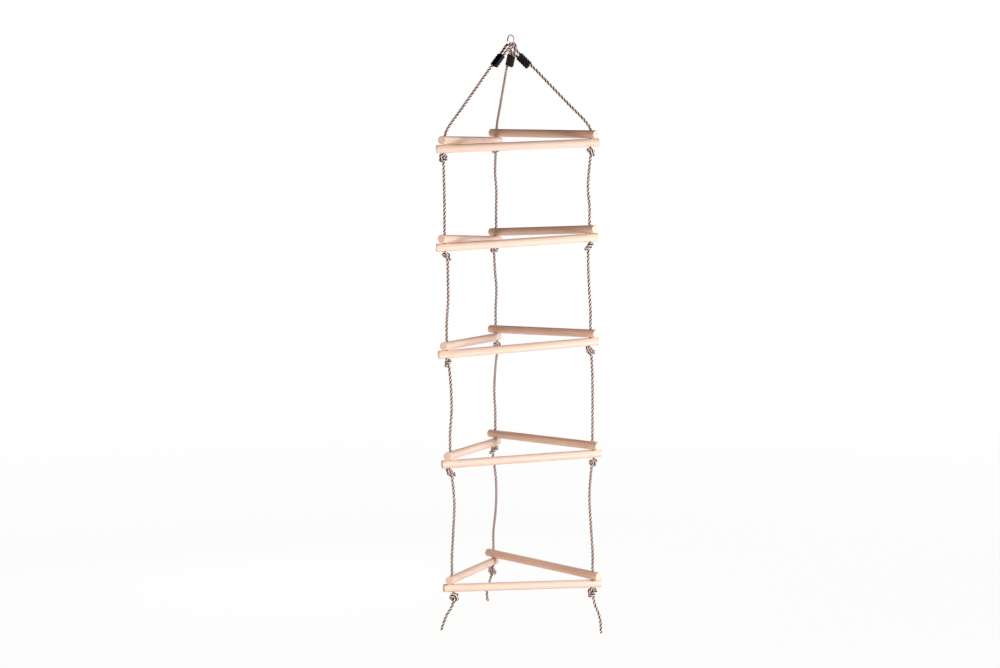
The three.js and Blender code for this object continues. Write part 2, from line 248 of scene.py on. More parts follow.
# The ring and the clamps, as far as the ropes follow them. The ring is turned about Z, each eye sits
# at its own angle round the ring's foot, and the live leg is the one that carries the load.
RING_WIRE = 0.003
RING_RADIUS = 0.022
RING_TURN = math.radians(60.0)
RING_ANGLE = {"left": -50.0, "right": 0.0, "back": 50.0}
LIVE_LEG = {"left": -1.0, "right": 1.0, "back": -1.0}
LEG_OFFSET = 0.0072  # from the clamp's middle to the middle of a leg
EYE_BEND = 0.0089  # radius of the half turn over the wire
EYE_FOOT = 0.022  # down from the wire, where the legs stand a little wider than in the clamp
EYE_FLARE = 0.001  # and how much wider, on each side
CLAMP_TOP = {"left": 0.045, "right": 0.040, "back": 0.043}  # down from the wire
CLAMP_LENGTH = 0.050
DEAD_END = 0.006  # the cut end stands so far up inside the clamp
STRAIGHT_OUT = 0.030  # the rope comes out of the clamp straight for this long
ring_axis = np.array((math.sin(RING_TURN), -math.cos(RING_TURN), 0.0))
ring_side = np.array((-ring_axis[1], ring_axis[0], 0.0))
ring_middle = np.array((0.0, 0.0, RING_WIRE - RING_RADIUS))


def corner(rope, k, over):
    """Where a rope passes level k, so far over the axis of the level's lowest rung."""
    level = LEVELS[k]
    angle = math.radians(CORNER_ANGLE[rope] + level["turn"])
    reach = HOLE_SPACING / math.sqrt(3)
    x, y = level["middle"]
    return np.array((x + reach * math.cos(angle), y + reach * math.sin(angle), level[rope] + over))


def knot_foot(rope, k):
    """Where a rope leaves the knot under level k."""
    return corner(rope, k, -RUNG_RADIUS - KNOT_SEAT - KNOT_HEIGHT)


def clamp_axes(rope):
    """The wire under a rope's eye, the clamp's middle, and its axes across, down the rope and through."""
    angle = math.radians(RING_ANGLE[rope])
    outward = math.sin(angle) * ring_side - math.cos(angle) * np.array((0.0, 0.0, 1.0))
    wire = ring_middle + RING_RADIUS * outward
    down = corner(rope, 0, TAKE_UP + TAKE_UP_BEND) - wire
    down /= np.linalg.norm(down)
    across = ring_axis - ring_axis.dot(down) * down
    across /= np.linalg.norm(across)
    through = np.cross(down, across)
    return wire, wire + (CLAMP_TOP[rope] + CLAMP_LENGTH / 2) * down, np.stack((across, down, through))


def overhand_knot():
    """The middle line of an overhand knot, in rope diameters, running down Z through the origin.
    An open trefoil is pulled by its ends: each step moves the ends apart, brings neighbours back to
    their spacing, and pushes turns that press each other to less than 0.88 of a diameter apart."""
    a = np.linspace(-2.12, 2.12, 2001)
    line = np.stack((a ** 4 / 2 - 2 * a ** 2 + 0.5, 0.11 * a ** 5 - 1.1 * a, 3 * a - a ** 3), axis=1)
    for spacing, steps, pull, ease in ((0.5, 300, 0.06, 0.05), (0.22, 80, 0.01, 0.02)):
        run = np.concatenate(([0.0], np.cumsum(np.linalg.norm(np.diff(line, axis=0), axis=1))))
        count = int(round(run[-1] / spacing)) + 1
        even = np.linspace(0.0, run[-1], count)
        line = np.stack([np.interp(even, run, line[:, i]) for i in range(3)], axis=1)
        length = run[-1] / (count - 1)
        first, second = np.triu_indices(count, k=math.ceil(1.75 / length))
        for _ in range(steps):
            line[0] = (0.9 * line[0, 0], 0.9 * line[0, 1], line[0, 2] + pull)
            line[-1] = (0.9 * line[-1, 0], 0.9 * line[-1, 1], line[-1, 2] - pull)
            for _ in range(8):
                for start in (0, 1):
                    pairs = (count - start) // 2
                    head = slice(start, start + 2 * pairs - 1, 2)
                    tail = slice(start + 1, start + 2 * pairs, 2)
                    gap = line[tail] - line[head]
                    far = np.linalg.norm(gap, axis=1, keepdims=True)
                    line[head] += gap * (0.5 - 0.5 * length / far)
                    line[tail] -= gap * (0.5 - 0.5 * length / far)
                line[1:-1] += ease * ((line[:-2] + line[2:]) / 2 - line[1:-1])
            for _ in range(2):
                gap = line[second] - line[first]
                far = np.linalg.norm(gap, axis=1)
                near = far < 0.88
                push = 0.7 * gap[near] * (0.44 / far[near] - 0.5)[:, None]
                np.add.at(line, second[near], push)
                np.add.at(line, first[near], -push)
    return line


def smooth_stations(points, step):
    """Even stations on the centripetal Catmull-Rom curve through the points."""
    p = np.asarray(points, float)
    p = np.vstack((2 * p[0] - p[1], p, 2 * p[-1] - p[-2]))
    t = np.concatenate(([0.0], np.cumsum(np.sqrt(np.linalg.norm(np.diff(p, axis=0), axis=1)))))
    share = np.linspace(0.0, 1.0, 16, endpoint=False)[None, :, None]
    t0, t1, t2, t3 = (t[i:len(t) - 3 + i, None, None] for i in range(4))
    p0, p1, p2, p3 = (p[i:len(p) - 3 + i, None, :] for i in range(4))
    at = t1 + share * (t2 - t1)
    a1 = ((t1 - at) * p0 + (at - t0) * p1) / (t1 - t0)
    a2 = ((t2 - at) * p1 + (at - t1) * p2) / (t2 - t1)
    a3 = ((t3 - at) * p2 + (at - t2) * p3) / (t3 - t2)
    b1 = ((t2 - at) * a1 + (at - t0) * a2) / (t2 - t0)
    b2 = ((t3 - at) * a2 + (at - t1) * a3) / (t3 - t1)
    curve = (((t2 - at) * b1 + (at - t1) * b2) / (t2 - t1)).reshape(-1, 3)
    curve = np.vstack((curve, p[-2]))
    run = np.concatenate(([0.0], np.cumsum(np.linalg.norm(np.diff(curve, axis=0), axis=1))))
    even = np.linspace(0.0, run[-1], int(round(run[-1] / step)) + 1)
    return np.stack([np.interp(even, run, curve[:, i]) for i in range(3)], axis=1)


def untwisted_frame(line):
    """Two unit vectors square to the line at each station, carried along it without twist."""
    along = np.gradient(line, axis=0)
    along /= np.linalg.norm(along, axis=1, keepdims=True)
    side = np.empty_like(along)
    side[0] = np.cross(along[0], (0.3, 0.9, 0.1))
    side[0] /= np.linalg.norm(side[0])
    for i in range(1, len(along)):
        side[i] = side[i - 1] - side[i - 1].dot(along[i]) * along[i]
        side[i] /= np.linalg.norm(side[i])
    return side, np.cross(along, side)


LAY = 0.042  # one full turn of a strand
STRAND_OFFSET = 0.266 * ROPE
STRAND_RADIUS = 0.234 * ROPE
AROUND = 42  # points round the rope


def laid_surface(line, side, up, run, full):
    """Three strands laid right-handed round the line: at angle f from the nearest strand's middle the
    surface stands at a cos f + sqrt(s^2 - a^2 sin^2 f) from the line, for a strand of radius s set
    off by a, and the section turns once in each lay. Each strand swells and thins by 2 %, and all of
    it is fuller where the lay opens in a knot. Also gives how far each point is out of the grooves,
    and the same surface on a straight rope."""
    angle = math.pi / 3 + np.arange(AROUND) * 2 * math.pi / AROUND
    near = (angle + math.pi / 3) % (2 * math.pi / 3) - math.pi / 3
    root = np.sqrt(np.maximum(STRAND_RADIUS ** 2 - (STRAND_OFFSET * np.sin(near)) ** 2, 0))
    section = STRAND_OFFSET * np.cos(near) + root
    crown = (section - section.min()) / (section.max() - section.min())
    swell = 1 + 0.02 * np.sin(run / 0.0041)[:, None] * np.cos(3 * near)[None, :]
    radius = section[None, :] * swell * full[:, None]
    turned = angle[None, :] + (2 * math.pi / LAY) * run[:, None]
    x, y = radius * np.cos(turned), radius * np.sin(turned)
    surface = line[:, None, :] + x[..., None] * side[:, None, :] + y[..., None] * up[:, None, :]
    straight = np.stack((x, y, np.broadcast_to(run[:, None], x.shape)), axis=-1)
    return surface, np.broadcast_to(crown, x.shape), straight


def grid_faces(rows, columns):
    """Quads of a rows x columns grid of points, whose last column meets the first."""
    i = np.arange(rows - 1)[:, None]
    j = np.arange(columns)[None, :]
    k = (j + 1) % columns
    here, after = i * columns, (i + 1) * columns
    quads = np.stack((here + j, here + k, after + k, after + j), axis=-1)
    return quads.reshape(-1, 4)


def new_piece(name, points, quads, triangles=None, materials=(), attributes=None):
    """A smooth mesh object from arrays of points and faces, with its point attributes."""
    mesh = bpy.data.meshes.new(name)
    points = np.asarray(points, np.float32).reshape(-1, 3)
    triangles = np.empty((0, 3), int) if triangles is None else np.asarray(triangles).reshape(-1, 3)
    used, corners = np.unique(np.concatenate((quads.ravel(), triangles.ravel())), return_inverse=True)
    points, corners = points[used], corners.ravel().astype(np.int32)
    mesh.vertices.add(len(points))
    mesh.vertices.foreach_set("co", points.ravel())
    sizes = np.concatenate((np.full(len(quads), 4), np.full(len(triangles), 3)))
    mesh.loops.add(len(corners))
    mesh.loops.foreach_set("vertex_index", corners)
    mesh.polygons.add(len(sizes))
    mesh.polygons.foreach_set("loop_start", np.concatenate(([0], np.cumsum(sizes)[:-1])).astype(np.int32))
    mesh.update(calc_edges=True)
    mesh.shade_smooth()
    for key, values in (attributes or {}).items():
        values = np.asarray(values, np.float32)[used]
        flat = values.ndim == 1
        made = mesh.attributes.new(key, "FLOAT" if flat else "FLOAT_VECTOR", "POINT")
        made.data.foreach_set("value" if flat else "vector", values.ravel())
    piece = bpy.data.objects.new(name, mesh)
    bpy.context.scene.collection.objects.link(piece)
    for material in materials:
        mesh.materials.append(material)
    return piece


# Spun polypropylene made to look like hemp: matt, pinkish straw, with painted shade in dark brown down in
# the lay and a painted highlight, near white, on the crown of each strand. Yarns about 0.9 mm thick and
# 8 mm long where they show lie along the rope on each strand, and its tone drifts over about 18 mm.
rope_finish, rope_tree, rope_shader = new_material("spun_hemp_look_rope")
straight = add(rope_tree, "ShaderNodeAttribute", {"attribute_name": "straight"})
crown_node = add(rope_tree, "ShaderNodeAttribute", {"attribute_name": "crown"})
stretched = add(
    rope_tree, "ShaderNodeMapping", Vector=straight.outputs["Vector"], Scale=(1100.0, 1100.0, 130.0)
)
yarn = add(
    rope_tree, "ShaderNodeTexNoise", Vector=stretched.outputs[0], Scale=1.0, Detail=3.0, Roughness=0.55
)
patchy = add(rope_tree, "ShaderNodeTexNoise", Vector=straight.outputs["Vector"], Scale=55.0, Detail=2.0)
# By how far a point stands out of the grooves: painted shade down in the lay (#291C19, then a painted
# half shade #8A736C), rising to a painted highlight (#FFF3EC) on the crowns.
groove_shade_crown_highlight_ramp = add(rope_tree, "ShaderNodeValToRGB", Fac=crown_node.outputs["Fac"])
groove_shade_crown_highlight_ramp.color_ramp.elements[0].color = linear("#291C19")
groove_shade_crown_highlight_ramp.color_ramp.elements[0].position = 0.63
groove_shade_crown_highlight_ramp.color_ramp.elements[1].color = linear("#FFF3EC")
groove_shade_crown_highlight_ramp.color_ramp.elements[1].position = 0.93
groove_half_shade = groove_shade_crown_highlight_ramp.color_ramp.elements.new(0.82)
groove_half_shade.color = linear("#8A736C")
yarn_tone = add(
    rope_tree, "ShaderNodeMapRange", Value=yarn.outputs[0], i1=0.35, i2=0.65, i3=0.68, i4=1.14
)
patch_tone = add(
    rope_tree, "ShaderNodeMapRange", Value=patchy.outputs[0], i1=0.3, i2=0.7, i3=0.88, i4=1.08
)
tone = add(
    rope_tree, "ShaderNodeMath", {"operation": "MULTIPLY"},
    i0=yarn_tone.outputs[0], i1=patch_tone.outputs[0],
)
rope_colour = add(
    rope_tree, "ShaderNodeVectorMath", {"operation": "SCALE"},
    i0=groove_shade_crown_highlight_ramp.outputs["Color"], Scale=tone.outputs[0],
)
rope_tree.links.new(rope_colour.outputs[0], rope_shader.inputs["Base Color"])
rope_shader.inputs["Roughness"].default_value = 0.85
rope_shader.inputs["Specular IOR Level"].default_value = 0.25
rope_shader.inputs["Sheen Weight"].default_value = 0.15
rope_shader.inputs["Sheen Roughness"].default_value = 0.5
yarn_bump = add(rope_tree, "ShaderNodeBump", Strength=0.5, Distance=0.0004, Height=yarn.outputs[0])
rope_tree.links.new(yarn_bump.outputs[0], rope_shader.inputs["Normal"])


def add_rope_piece(node, line, side, up, run, full, is_tail):
    """One length of the rope between two cuts, closed at both by a fan on its middle line."""
    surface, crown, straight_points = laid_surface(line, side, up, run, full)
    if is_tail:
        # The cut end is melted blunt: its last stations draw in on a quarter circle.
        away = np.clip((run[-1] - run) / (0.4 * ROPE), 0, 1)
        draw = np.sqrt(1 - (1 - away) ** 2 * 0.9)[:, None, None]
        surface = line[:, None, :] + (surface - line[:, None, :]) * draw
    rows = len(line)
    points = np.vstack((surface.reshape(-1, 3), line[:1], line[-1:]))
    quads = grid_faces(rows, AROUND)
    j = np.arange(AROUND)
    k = (j + 1) % AROUND
    last = (rows - 1) * AROUND
    first_tip = np.full(AROUND, rows * AROUND)
    last_tip = first_tip + 1
    fans = np.vstack((
        np.stack((k, j, first_tip), axis=1),
        np.stack((last + j, last + k, last_tip), axis=1),
    ))
    # crown carries how far each point is out of the grooves; it drives the painted groove shade and crown
    # highlight.
    attributes = {
        "crown": np.concatenate((crown.ravel(), (0.5, 0.5))),
        "straight": np.vstack((straight_points.reshape(-1, 3), (0, 0, run[0]), (0, 0, run[-1]))),
    }
    piece = new_piece(f"{node}_laid", points, quads, fans, [rope_finish], attributes)
    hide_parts(node)
    return piece


STEP = 0.0016  # from one ring of points to the next
knot_line = overhand_knot() * ROPE
knot_core = knot_line[np.abs(knot_line[:, 2]) < KNOT_REACH]
for rope_index, rope in enumerate(ROPES):
    wire, middle, axes = clamp_axes(rope)
    live = LIVE_LEG[rope] * LEG_OFFSET

    def on_clamp(across, down):
        return middle + across * axes[0] + down * axes[1]

    # From the cut end in the clamp, up the dead leg, over the ring wire and down the live leg.
    top = -CLAMP_LENGTH / 2 - CLAMP_TOP[rope]
    flared = live * (1 + EYE_FLARE / LEG_OFFSET)
    points = [on_clamp(-live, along) for along in (CLAMP_LENGTH / 2 - DEAD_END, 0.0, -CLAMP_LENGTH / 2)]
    points.append(on_clamp(-flared, top + EYE_FOOT))
    for turn in np.linspace(0.0, math.pi, 9):
        across = -LIVE_LEG[rope] * EYE_BEND * math.cos(turn)
        points.append(on_clamp(across, top - EYE_BEND * math.sin(turn)))
    points += [on_clamp(flared, top + EYE_FOOT), on_clamp(live, -CLAMP_LENGTH / 2), on_clamp(live, 0.0)]
    cuts = [points[-1]]
    knots = []

    # Down to level 1, through its rungs, and on from knot to knot.
    entry = corner(rope, 0, TAKE_UP + TAKE_UP_BEND)
    start = on_clamp(live, CLAMP_LENGTH / 2 + STRAIGHT_OUT)
    points += [on_clamp(live, CLAMP_LENGTH / 2), start]
    points += [start + share * (entry - start) for share in (0.3, 0.6, 0.94)]
    for k in range(len(LEVELS)):
        over = TAKE_UP if k == 0 else PLUMB
        points += [corner(rope, k, over * share) for share in (1.0, 0.62, 0.3, 0.0)]
        # The knot's turns, each knot turned differently, and leaning to where the rope leaves it.
        angle = 2.4 * k + 2.1 * rope_index
        spin = np.array(((math.cos(angle), -math.sin(angle)), (math.sin(angle), math.cos(angle))))
        is_last = k == len(LEVELS) - 1
        shape = LAST_KNOT if is_last else KNOT
        knot = knot_core.copy()
        knot[:, :2] = knot[:, :2] @ spin.T
        knot *= shape["stretch"]
        leaving = TAILS[rope][0][:2] if is_last else DRIFT[rope][k][0]
        sunk = np.clip(0.5 - knot[:, 2] / (3 * ROPE), 0, 1)[:, None]
        knot[:, :2] += sunk * np.array(leaving)
        seat = corner(rope, k, -RUNG_RADIUS - shape["depth"])
        knots.append((seat, shape["fuller"]))
        points += list(seat + knot)
        cuts.append(points[-1])
        foot = knot_foot(rope, k)
        if is_last:
            points += [foot + np.array(offset) for offset in TAILS[rope][1:]]
        else:
            bottom = corner(rope, k + 1, PLUMB)
            for share, (x, y) in zip((0.3, 0.65), DRIFT[rope][k][1:]):
                points.append(foot + share * (bottom - foot) + (x, y, 0.0))

    line = smooth_stations(points, STEP)
    side, up = untwisted_frame(line)
    run = np.arange(len(line)) * STEP
    full = np.ones(len(line))
    for seat, fuller in knots:
        near = (KNOT_FADE[0] - np.linalg.norm(line - seat, axis=1)) / KNOT_FADE[1]
        full += fuller * np.clip(near, 0, 1)
    marks = [0] + [int(np.argmin(np.linalg.norm(line - cut, axis=1))) for cut in cuts] + [len(line) - 1]

    names = [f"{rope}_eye"] + [f"{rope}_rope_{k + 1}" for k in range(len(LEVELS))] + [f"{rope}_tail"]
    for index, name in enumerate(names):
        i, j = marks[index], marks[index + 1]
        is_tail = index == len(names) - 1
        part = slice(i, j + 1)
        piece = add_rope_piece(name, line[part], side[part], up[part], run[part], full[part], is_tail)
        # Where each length meets the body it hangs from and the one it leads to; nothing uses these
        # points.
        if index == 0:
            begin, finish = wire + 0.012 * axes[1], wire + CLAMP_TOP[rope] * axes[1]
        elif index == 1:
            begin, finish = on_clamp(0.0, CLAMP_LENGTH / 2 + 0.004), entry - 0.025 * axes[1]
        elif is_tail:
            begin = knot_foot(rope, index - 2)
            finish = begin - (0.0, 0.0, 0.045)
        else:
            begin = knot_foot(rope, index - 2)
            finish = (begin[0], begin[1], corner(rope, index - 1, PLUMB)[2])
        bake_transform(piece)

# Hanging ring.
# One round of 6 mm bright steel wire, bent to 44 mm across its middle and butt-welded at the side.
WELD_ANGLE = math.radians(200.0)


def ring_surface(rows, columns):
    """A torus: at angle a round the ring and b round the wire, the point is (R + w cos b) out along
    direction a and w sin b along the ring's axis. The wire w swells 8 % in a bead at the weld."""
    a = np.arange(rows)[:, None] * 2 * math.pi / rows
    b = np.arange(columns)[None, :] * 2 * math.pi / columns
    off = np.angle(np.exp(1j * (a - WELD_ANGLE)))
    bead = np.exp(-((off / 0.075) ** 2)) * (1 + 0.25 * np.cos(5 * b + 60 * off))
    w = RING_WIRE * (0.985 + 0.08 * bead)
    out = RING_RADIUS + w * np.cos(b)
    x, y, z = out * np.cos(a), out * np.sin(a), w * np.sin(b) + 0 * a
    place = x[..., None] * ring_side + z[..., None] * ring_axis
    place[..., 2] += y
    return ring_middle + place


def wrapped_faces(rows, columns):
    """Quads of a grid that closes both ways."""
    quads = grid_faces(rows + 1, columns)
    return quads[:, ::-1] % (rows * columns)


# Bright drawn steel, tumbled after welding: mirror-like, with dull marks about 2.4 mm across.
steel, steel_tree, steel_shader = new_material("bright_drawn_steel")
steel_place = add(steel_tree, "ShaderNodeTexCoord")
steel_marks = add(
    steel_tree, "ShaderNodeTexNoise", Vector=steel_place.outputs["Object"], Scale=420.0, Detail=4.0
)
steel_rough = add(
    steel_tree, "ShaderNodeMapRange", Value=steel_marks.outputs[0], i1=0.35, i2=0.7, i3=0.12, i4=0.24
)
steel_tone = add(steel_tree, "ShaderNodeValToRGB", Fac=steel_marks.outputs[0])
steel_tone.color_ramp.elements[0].color = linear("#BFC1C4")
steel_tone.color_ramp.elements[0].position = 0.3
steel_tone.color_ramp.elements[1].color = linear("#E2E3E5")
steel_tone.color_ramp.elements[1].position = 0.55
steel_tree.links.new(steel_tone.outputs["Color"], steel_shader.inputs["Base Color"])
steel_tree.links.new(steel_rough.outputs[0], steel_shader.inputs["Roughness"])
steel_bump = add(
    steel_tree, "ShaderNodeBump", Strength=0.08, Distance=0.00003, Height=steel_marks.outputs[0]
)
steel_tree.links.new(steel_bump.outputs[0], steel_shader.inputs["Normal"])
steel_shader.inputs["Metallic"].default_value = 1.0

RING_GRID = (160, 28)
ring = new_piece(
    "ring_wire", ring_surface(*RING_GRID), wrapped_faces(*RING_GRID), materials=[steel]
)
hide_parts("hanging_ring")
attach(ring, "ring")

# Rope clamps.
# Two like shells of black moulded nylon, ribbed across, drawn together over both legs of the eye by
# two screws. Each leg lies in its own channel, and each screw head in a sunk seat.
CLAMP_HALF_WIDTH = 0.0135
CLAMP_HALF_DEPTH = 0.0085
SPLIT = 0.0002
RIBS = 5
END_ROUND = 0.0028
CHANNEL_RADIUS = 0.00505
SCREW_SPACING = 0.026
SCREW_HEAD_RADIUS = 0.0032
SEAT_DEPTH = 0.0022


def shell_surface(rows, columns):
    """One shell on its clamp's axes, as loops round its section: out over the rounded back from one
    edge of the split face to the other, and home over the split face and its two channels. Along
    the shell the back is a rounded box that is 1.7 mm narrower and 1.9 mm lower in the grooves
    between the ribs, and drawn in on a quarter circle at the ends. The split face stands at the gap,
    or in a channel of radius c at the root of c squared less the squared distance from its middle."""
    end = CLAMP_LENGTH / 2
    share = (np.arange(rows) + 0.5) / rows
    crowded = -np.cos(share * math.pi) * 0.12 + (share * 2 - 1) * 0.88
    y = np.concatenate(((-1.0,), crowded, (1.0,)))[:, None] * end
    groove = (0.5 + 0.5 * np.cos(2 * math.pi * RIBS * (y / (2 * end) + 0.5))) ** 1.4
    close = np.clip(1 + (np.abs(y) - end) / END_ROUND, 0, 1)
    draw = 1 - np.sqrt(np.maximum(1 - close ** 2, 0))
    wide = CLAMP_HALF_WIDTH + 0.0008 - 0.0017 * groove - 0.0008 * draw
    deep = CLAMP_HALF_DEPTH + 0.0003 - 0.0019 * groove - 0.0022 * draw
    # The back is a superellipse of power five, from one edge at angle 0 to the other at 180 degrees.
    a = np.linspace(0.0, math.pi, columns)[None, :]
    cos, sin = np.cos(a), np.sin(a)
    back_x = wide * np.sign(cos) * np.abs(cos) ** 0.42
    back_z = SPLIT + (deep - SPLIT) * np.abs(sin) ** 0.42
    face_x = -wide * np.sign(cos) * np.abs(cos) ** 0.8
    inside = CHANNEL_RADIUS ** 2 - (np.abs(face_x) - LEG_OFFSET) ** 2
    face_z = np.maximum(SPLIT, np.sqrt(np.maximum(inside, 0)))
    x = np.hstack((back_x, face_x[:, 1:-1]))
    z = np.hstack((back_z, face_z[:, 1:-1]))
    # Two round seats for the screw heads are pressed into the back.
    from_screw = np.hypot(x, np.abs(y) - SCREW_SPACING / 2)
    seat = np.clip((SCREW_HEAD_RADIUS + 0.0006 - from_screw) / 0.0005, 0, 1)
    on_back = z > CLAMP_HALF_DEPTH * 0.7
    pressed = z * (1 - seat) + (CLAMP_HALF_DEPTH - SEAT_DEPTH) * seat
    z = np.where(on_back, np.minimum(z, pressed), z)
    return np.stack((x, np.broadcast_to(y, x.shape), z), axis=-1)


def shell_faces(rows, columns):
    """Quads round the shell, and at each end quads from the back's points to the split face's."""
    around = 2 * columns - 2
    quads = grid_faces(rows, around)[:, ::-1]
    back = np.arange(columns)
    face = np.concatenate(((0,), np.arange(around - 1, columns - 1, -1), (columns - 1,)))
    last = (rows - 1) * around
    first_cap = np.stack((back[1:-2], back[2:-1], face[2:-1], face[1:-2]), axis=1)
    tips = np.array(((back[0], back[1], face[1]), (back[-2], back[-1], face[-2])))
    caps = np.vstack((first_cap, last + first_cap[:, ::-1]))
    return np.vstack((quads, caps)), np.vstack((tips, last + tips[:, ::-1]))


# Glass-filled nylon with a spark-eroded grain of about 0.1 mm, drawn 0.4 mm across so that it shows,
# and scuffs of about 6 mm: near black, with soft highlights on the ribs.
nylon, nylon_tree, nylon_shader = new_material("black_moulded_nylon")
nylon_place = add(nylon_tree, "ShaderNodeTexCoord")
nylon_grain = add(
    nylon_tree, "ShaderNodeTexNoise", Vector=nylon_place.outputs["Object"], Scale=2600.0, Detail=2.0
)
nylon_scuff = add(
    nylon_tree, "ShaderNodeTexNoise", Vector=nylon_place.outputs["Object"], Scale=160.0, Detail=4.0
)
nylon_tone = add(nylon_tree, "ShaderNodeValToRGB", Fac=nylon_scuff.outputs[0])
nylon_tone.color_ramp.elements[0].color = linear("#050505")
nylon_tone.color_ramp.elements[0].position = 0.42
nylon_tone.color_ramp.elements[1].color = linear("#0F0E0E")
nylon_tone.color_ramp.elements[1].position = 0.72
nylon_tree.links.new(nylon_tone.outputs["Color"], nylon_shader.inputs["Base Color"])
nylon_rough = add(
    nylon_tree, "ShaderNodeMapRange", Value=nylon_scuff.outputs[0], i1=0.3, i2=0.7, i3=0.36, i4=0.55
)
nylon_tree.links.new(nylon_rough.outputs[0], nylon_shader.inputs["Roughness"])
nylon_bump = add(
    nylon_tree, "ShaderNodeBump", Strength=0.25, Distance=0.00008, Height=nylon_grain.outputs[0]
)
nylon_tree.links.new(nylon_bump.outputs[0], nylon_shader.inputs["Normal"])
nylon_shader.inputs["IOR"].default_value = 1.53
nylon_shader.inputs["Specular IOR Level"].default_value = 0.28

shell_columns, shell_rows = 61, 150
shell = shell_surface(shell_rows, shell_columns)
shell_quads, shell_tips = shell_faces(len(shell), shell_columns)
for rope in ROPES:
    _, middle, (across, down, through) = clamp_axes(rope)
    for half, flip in (("front", -1.0), ("back", 1.0)):
        basis = np.stack((flip * across, down, -flip * through))
        points = middle + shell @ basis
        name = f"{rope}_shell_{half}"
        piece = new_piece(name, points, shell_quads, shell_tips, [nylon])
        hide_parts(f"{rope}_clamp_{half}")
        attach(piece, "clamps")

# Clamp screws.
# Zinc-plated pan heads with a cross recess, two to a clamp, their heads in the seats of one shell.
SCREW_RADIUS = 0.0017
HEAD_TOP = CLAMP_HALF_DEPTH - 0.0003
HEAD_HEIGHT = 0.0018
HEAD_EDGE = 0.0008
SHANK_END = -0.0060
CROSS_HALF_WIDTH = 0.00042
CROSS_REACH = 0.0020
CROSS_DEPTH = 0.0010


def screw_surface(columns):
    """A turned profile round Z: shank, flat under the head, and a domed head. Its crown sinks by the
    depth of a cross, which is 1 where the point lies within half a slot of either arm."""
    under = HEAD_TOP - HEAD_HEIGHT
    dome = np.linspace(0.0, 1.0, 22)[1:-1]
    r = np.concatenate((
        (SCREW_RADIUS * 0.7, SCREW_RADIUS, SCREW_RADIUS, SCREW_HEAD_RADIUS - 0.0002, SCREW_HEAD_RADIUS),
        (SCREW_HEAD_RADIUS * 0.98,), SCREW_HEAD_RADIUS * 0.96 * (1 - dome),
    ))
    z = np.concatenate((
        (SHANK_END, SHANK_END + 0.0005, under, under, under + 0.0002),
        (under + HEAD_EDGE,), under + HEAD_EDGE + (HEAD_HEIGHT - HEAD_EDGE) * (1 - (1 - dome) ** 2),
    ))
    a = np.arange(columns)[None, :] * 2 * math.pi / columns
    x, y = r[:, None] * np.cos(a), r[:, None] * np.sin(a)
    arm = np.minimum(np.abs(x), np.abs(y)) < CROSS_HALF_WIDTH
    inside = (np.hypot(x, y) < CROSS_REACH) & (z[:, None] > under + HEAD_EDGE)
    sink = np.where(arm & inside, CROSS_DEPTH, 0.0)
    return np.stack((x, y, z[:, None] - sink), axis=-1)


# Bright zinc plate on steel: pale, slightly blue, satin, with a mottle of about 1.1 mm.
zinc, zinc_tree, zinc_shader = new_material("bright_zinc_plate")
zinc_place = add(zinc_tree, "ShaderNodeTexCoord")
zinc_mottle = add(
    zinc_tree, "ShaderNodeTexNoise", Vector=zinc_place.outputs["Object"], Scale=900.0, Detail=3.0
)
zinc_tone = add(zinc_tree, "ShaderNodeValToRGB", Fac=zinc_mottle.outputs[0])
zinc_tone.color_ramp.elements[0].color = linear("#8C9096")
zinc_tone.color_ramp.elements[1].color = linear("#C3C7CB")
zinc_tree.links.new(zinc_tone.outputs["Color"], zinc_shader.inputs["Base Color"])
zinc_rough = add(
    zinc_tree, "ShaderNodeMapRange", Value=zinc_mottle.outputs[0], i1=0.3, i2=0.7, i3=0.28, i4=0.42
)
zinc_tree.links.new(zinc_rough.outputs[0], zinc_shader.inputs["Roughness"])
zinc_shader.inputs["Metallic"].default_value = 1.0

SCREW_AROUND = 40
screw = screw_surface(SCREW_AROUND)
screw_rows = len(screw)
screw_quads = grid_faces(screw_rows, SCREW_AROUND)
j = np.arange(SCREW_AROUND)
k = (j + 1) % SCREW_AROUND
crown_start = (screw_rows - 1) * SCREW_AROUND
shank_tip = np.full_like(j, screw_rows * SCREW_AROUND)
crown_tip = shank_tip + 1
screw_ends = np.vstack((
    np.stack((k, j, shank_tip), axis=1),
    np.stack((crown_start + j, crown_start + k, crown_tip), axis=1),
))
screw_points = np.vstack((screw.reshape(-1, 3), (0, 0, SHANK_END), (0, 0, screw[-1, :, 2].mean())))
for rope in ROPES:
    _, middle, (across, down, through) = clamp_axes(rope)
    for index, along in enumerate((-SCREW_SPACING / 2, SCREW_SPACING / 2)):
        basis = np.stack((across, down, -through))
        points = middle + along * down + screw_points @ basis
        name = f"{rope}_clamp_screw_{index + 1}"
        piece = new_piece(f"{name}_turned", points, screw_quads, screw_ends, [zinc])
        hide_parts(name)
        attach(piece, "clamps")

# Rungs.
# Turned dowels of pale beech, 28 mm thick and 560 mm long, sanded and left bare. Each end is eased
# with a small round, and a 13 mm hole near it lets the rope through, its edges broken by sanding.
RUNG_LENGTH = 0.560
RUNG_ROUND = 0.002
HOLE_RADIUS = 0.0065
HOLE_ROUND = 0.0008
STACK_STEP = 0.0286  # from a level's lowest rungs to those that lie on them
RUNG_AROUND = 48
# The square left out of the dowel's grid round a hole: half its length, the rows along it, and the
# columns on each side of the hole's middle.
HOLE_HALF = 0.0095
HOLE_ROWS = 10
HOLE_COLUMNS = 5


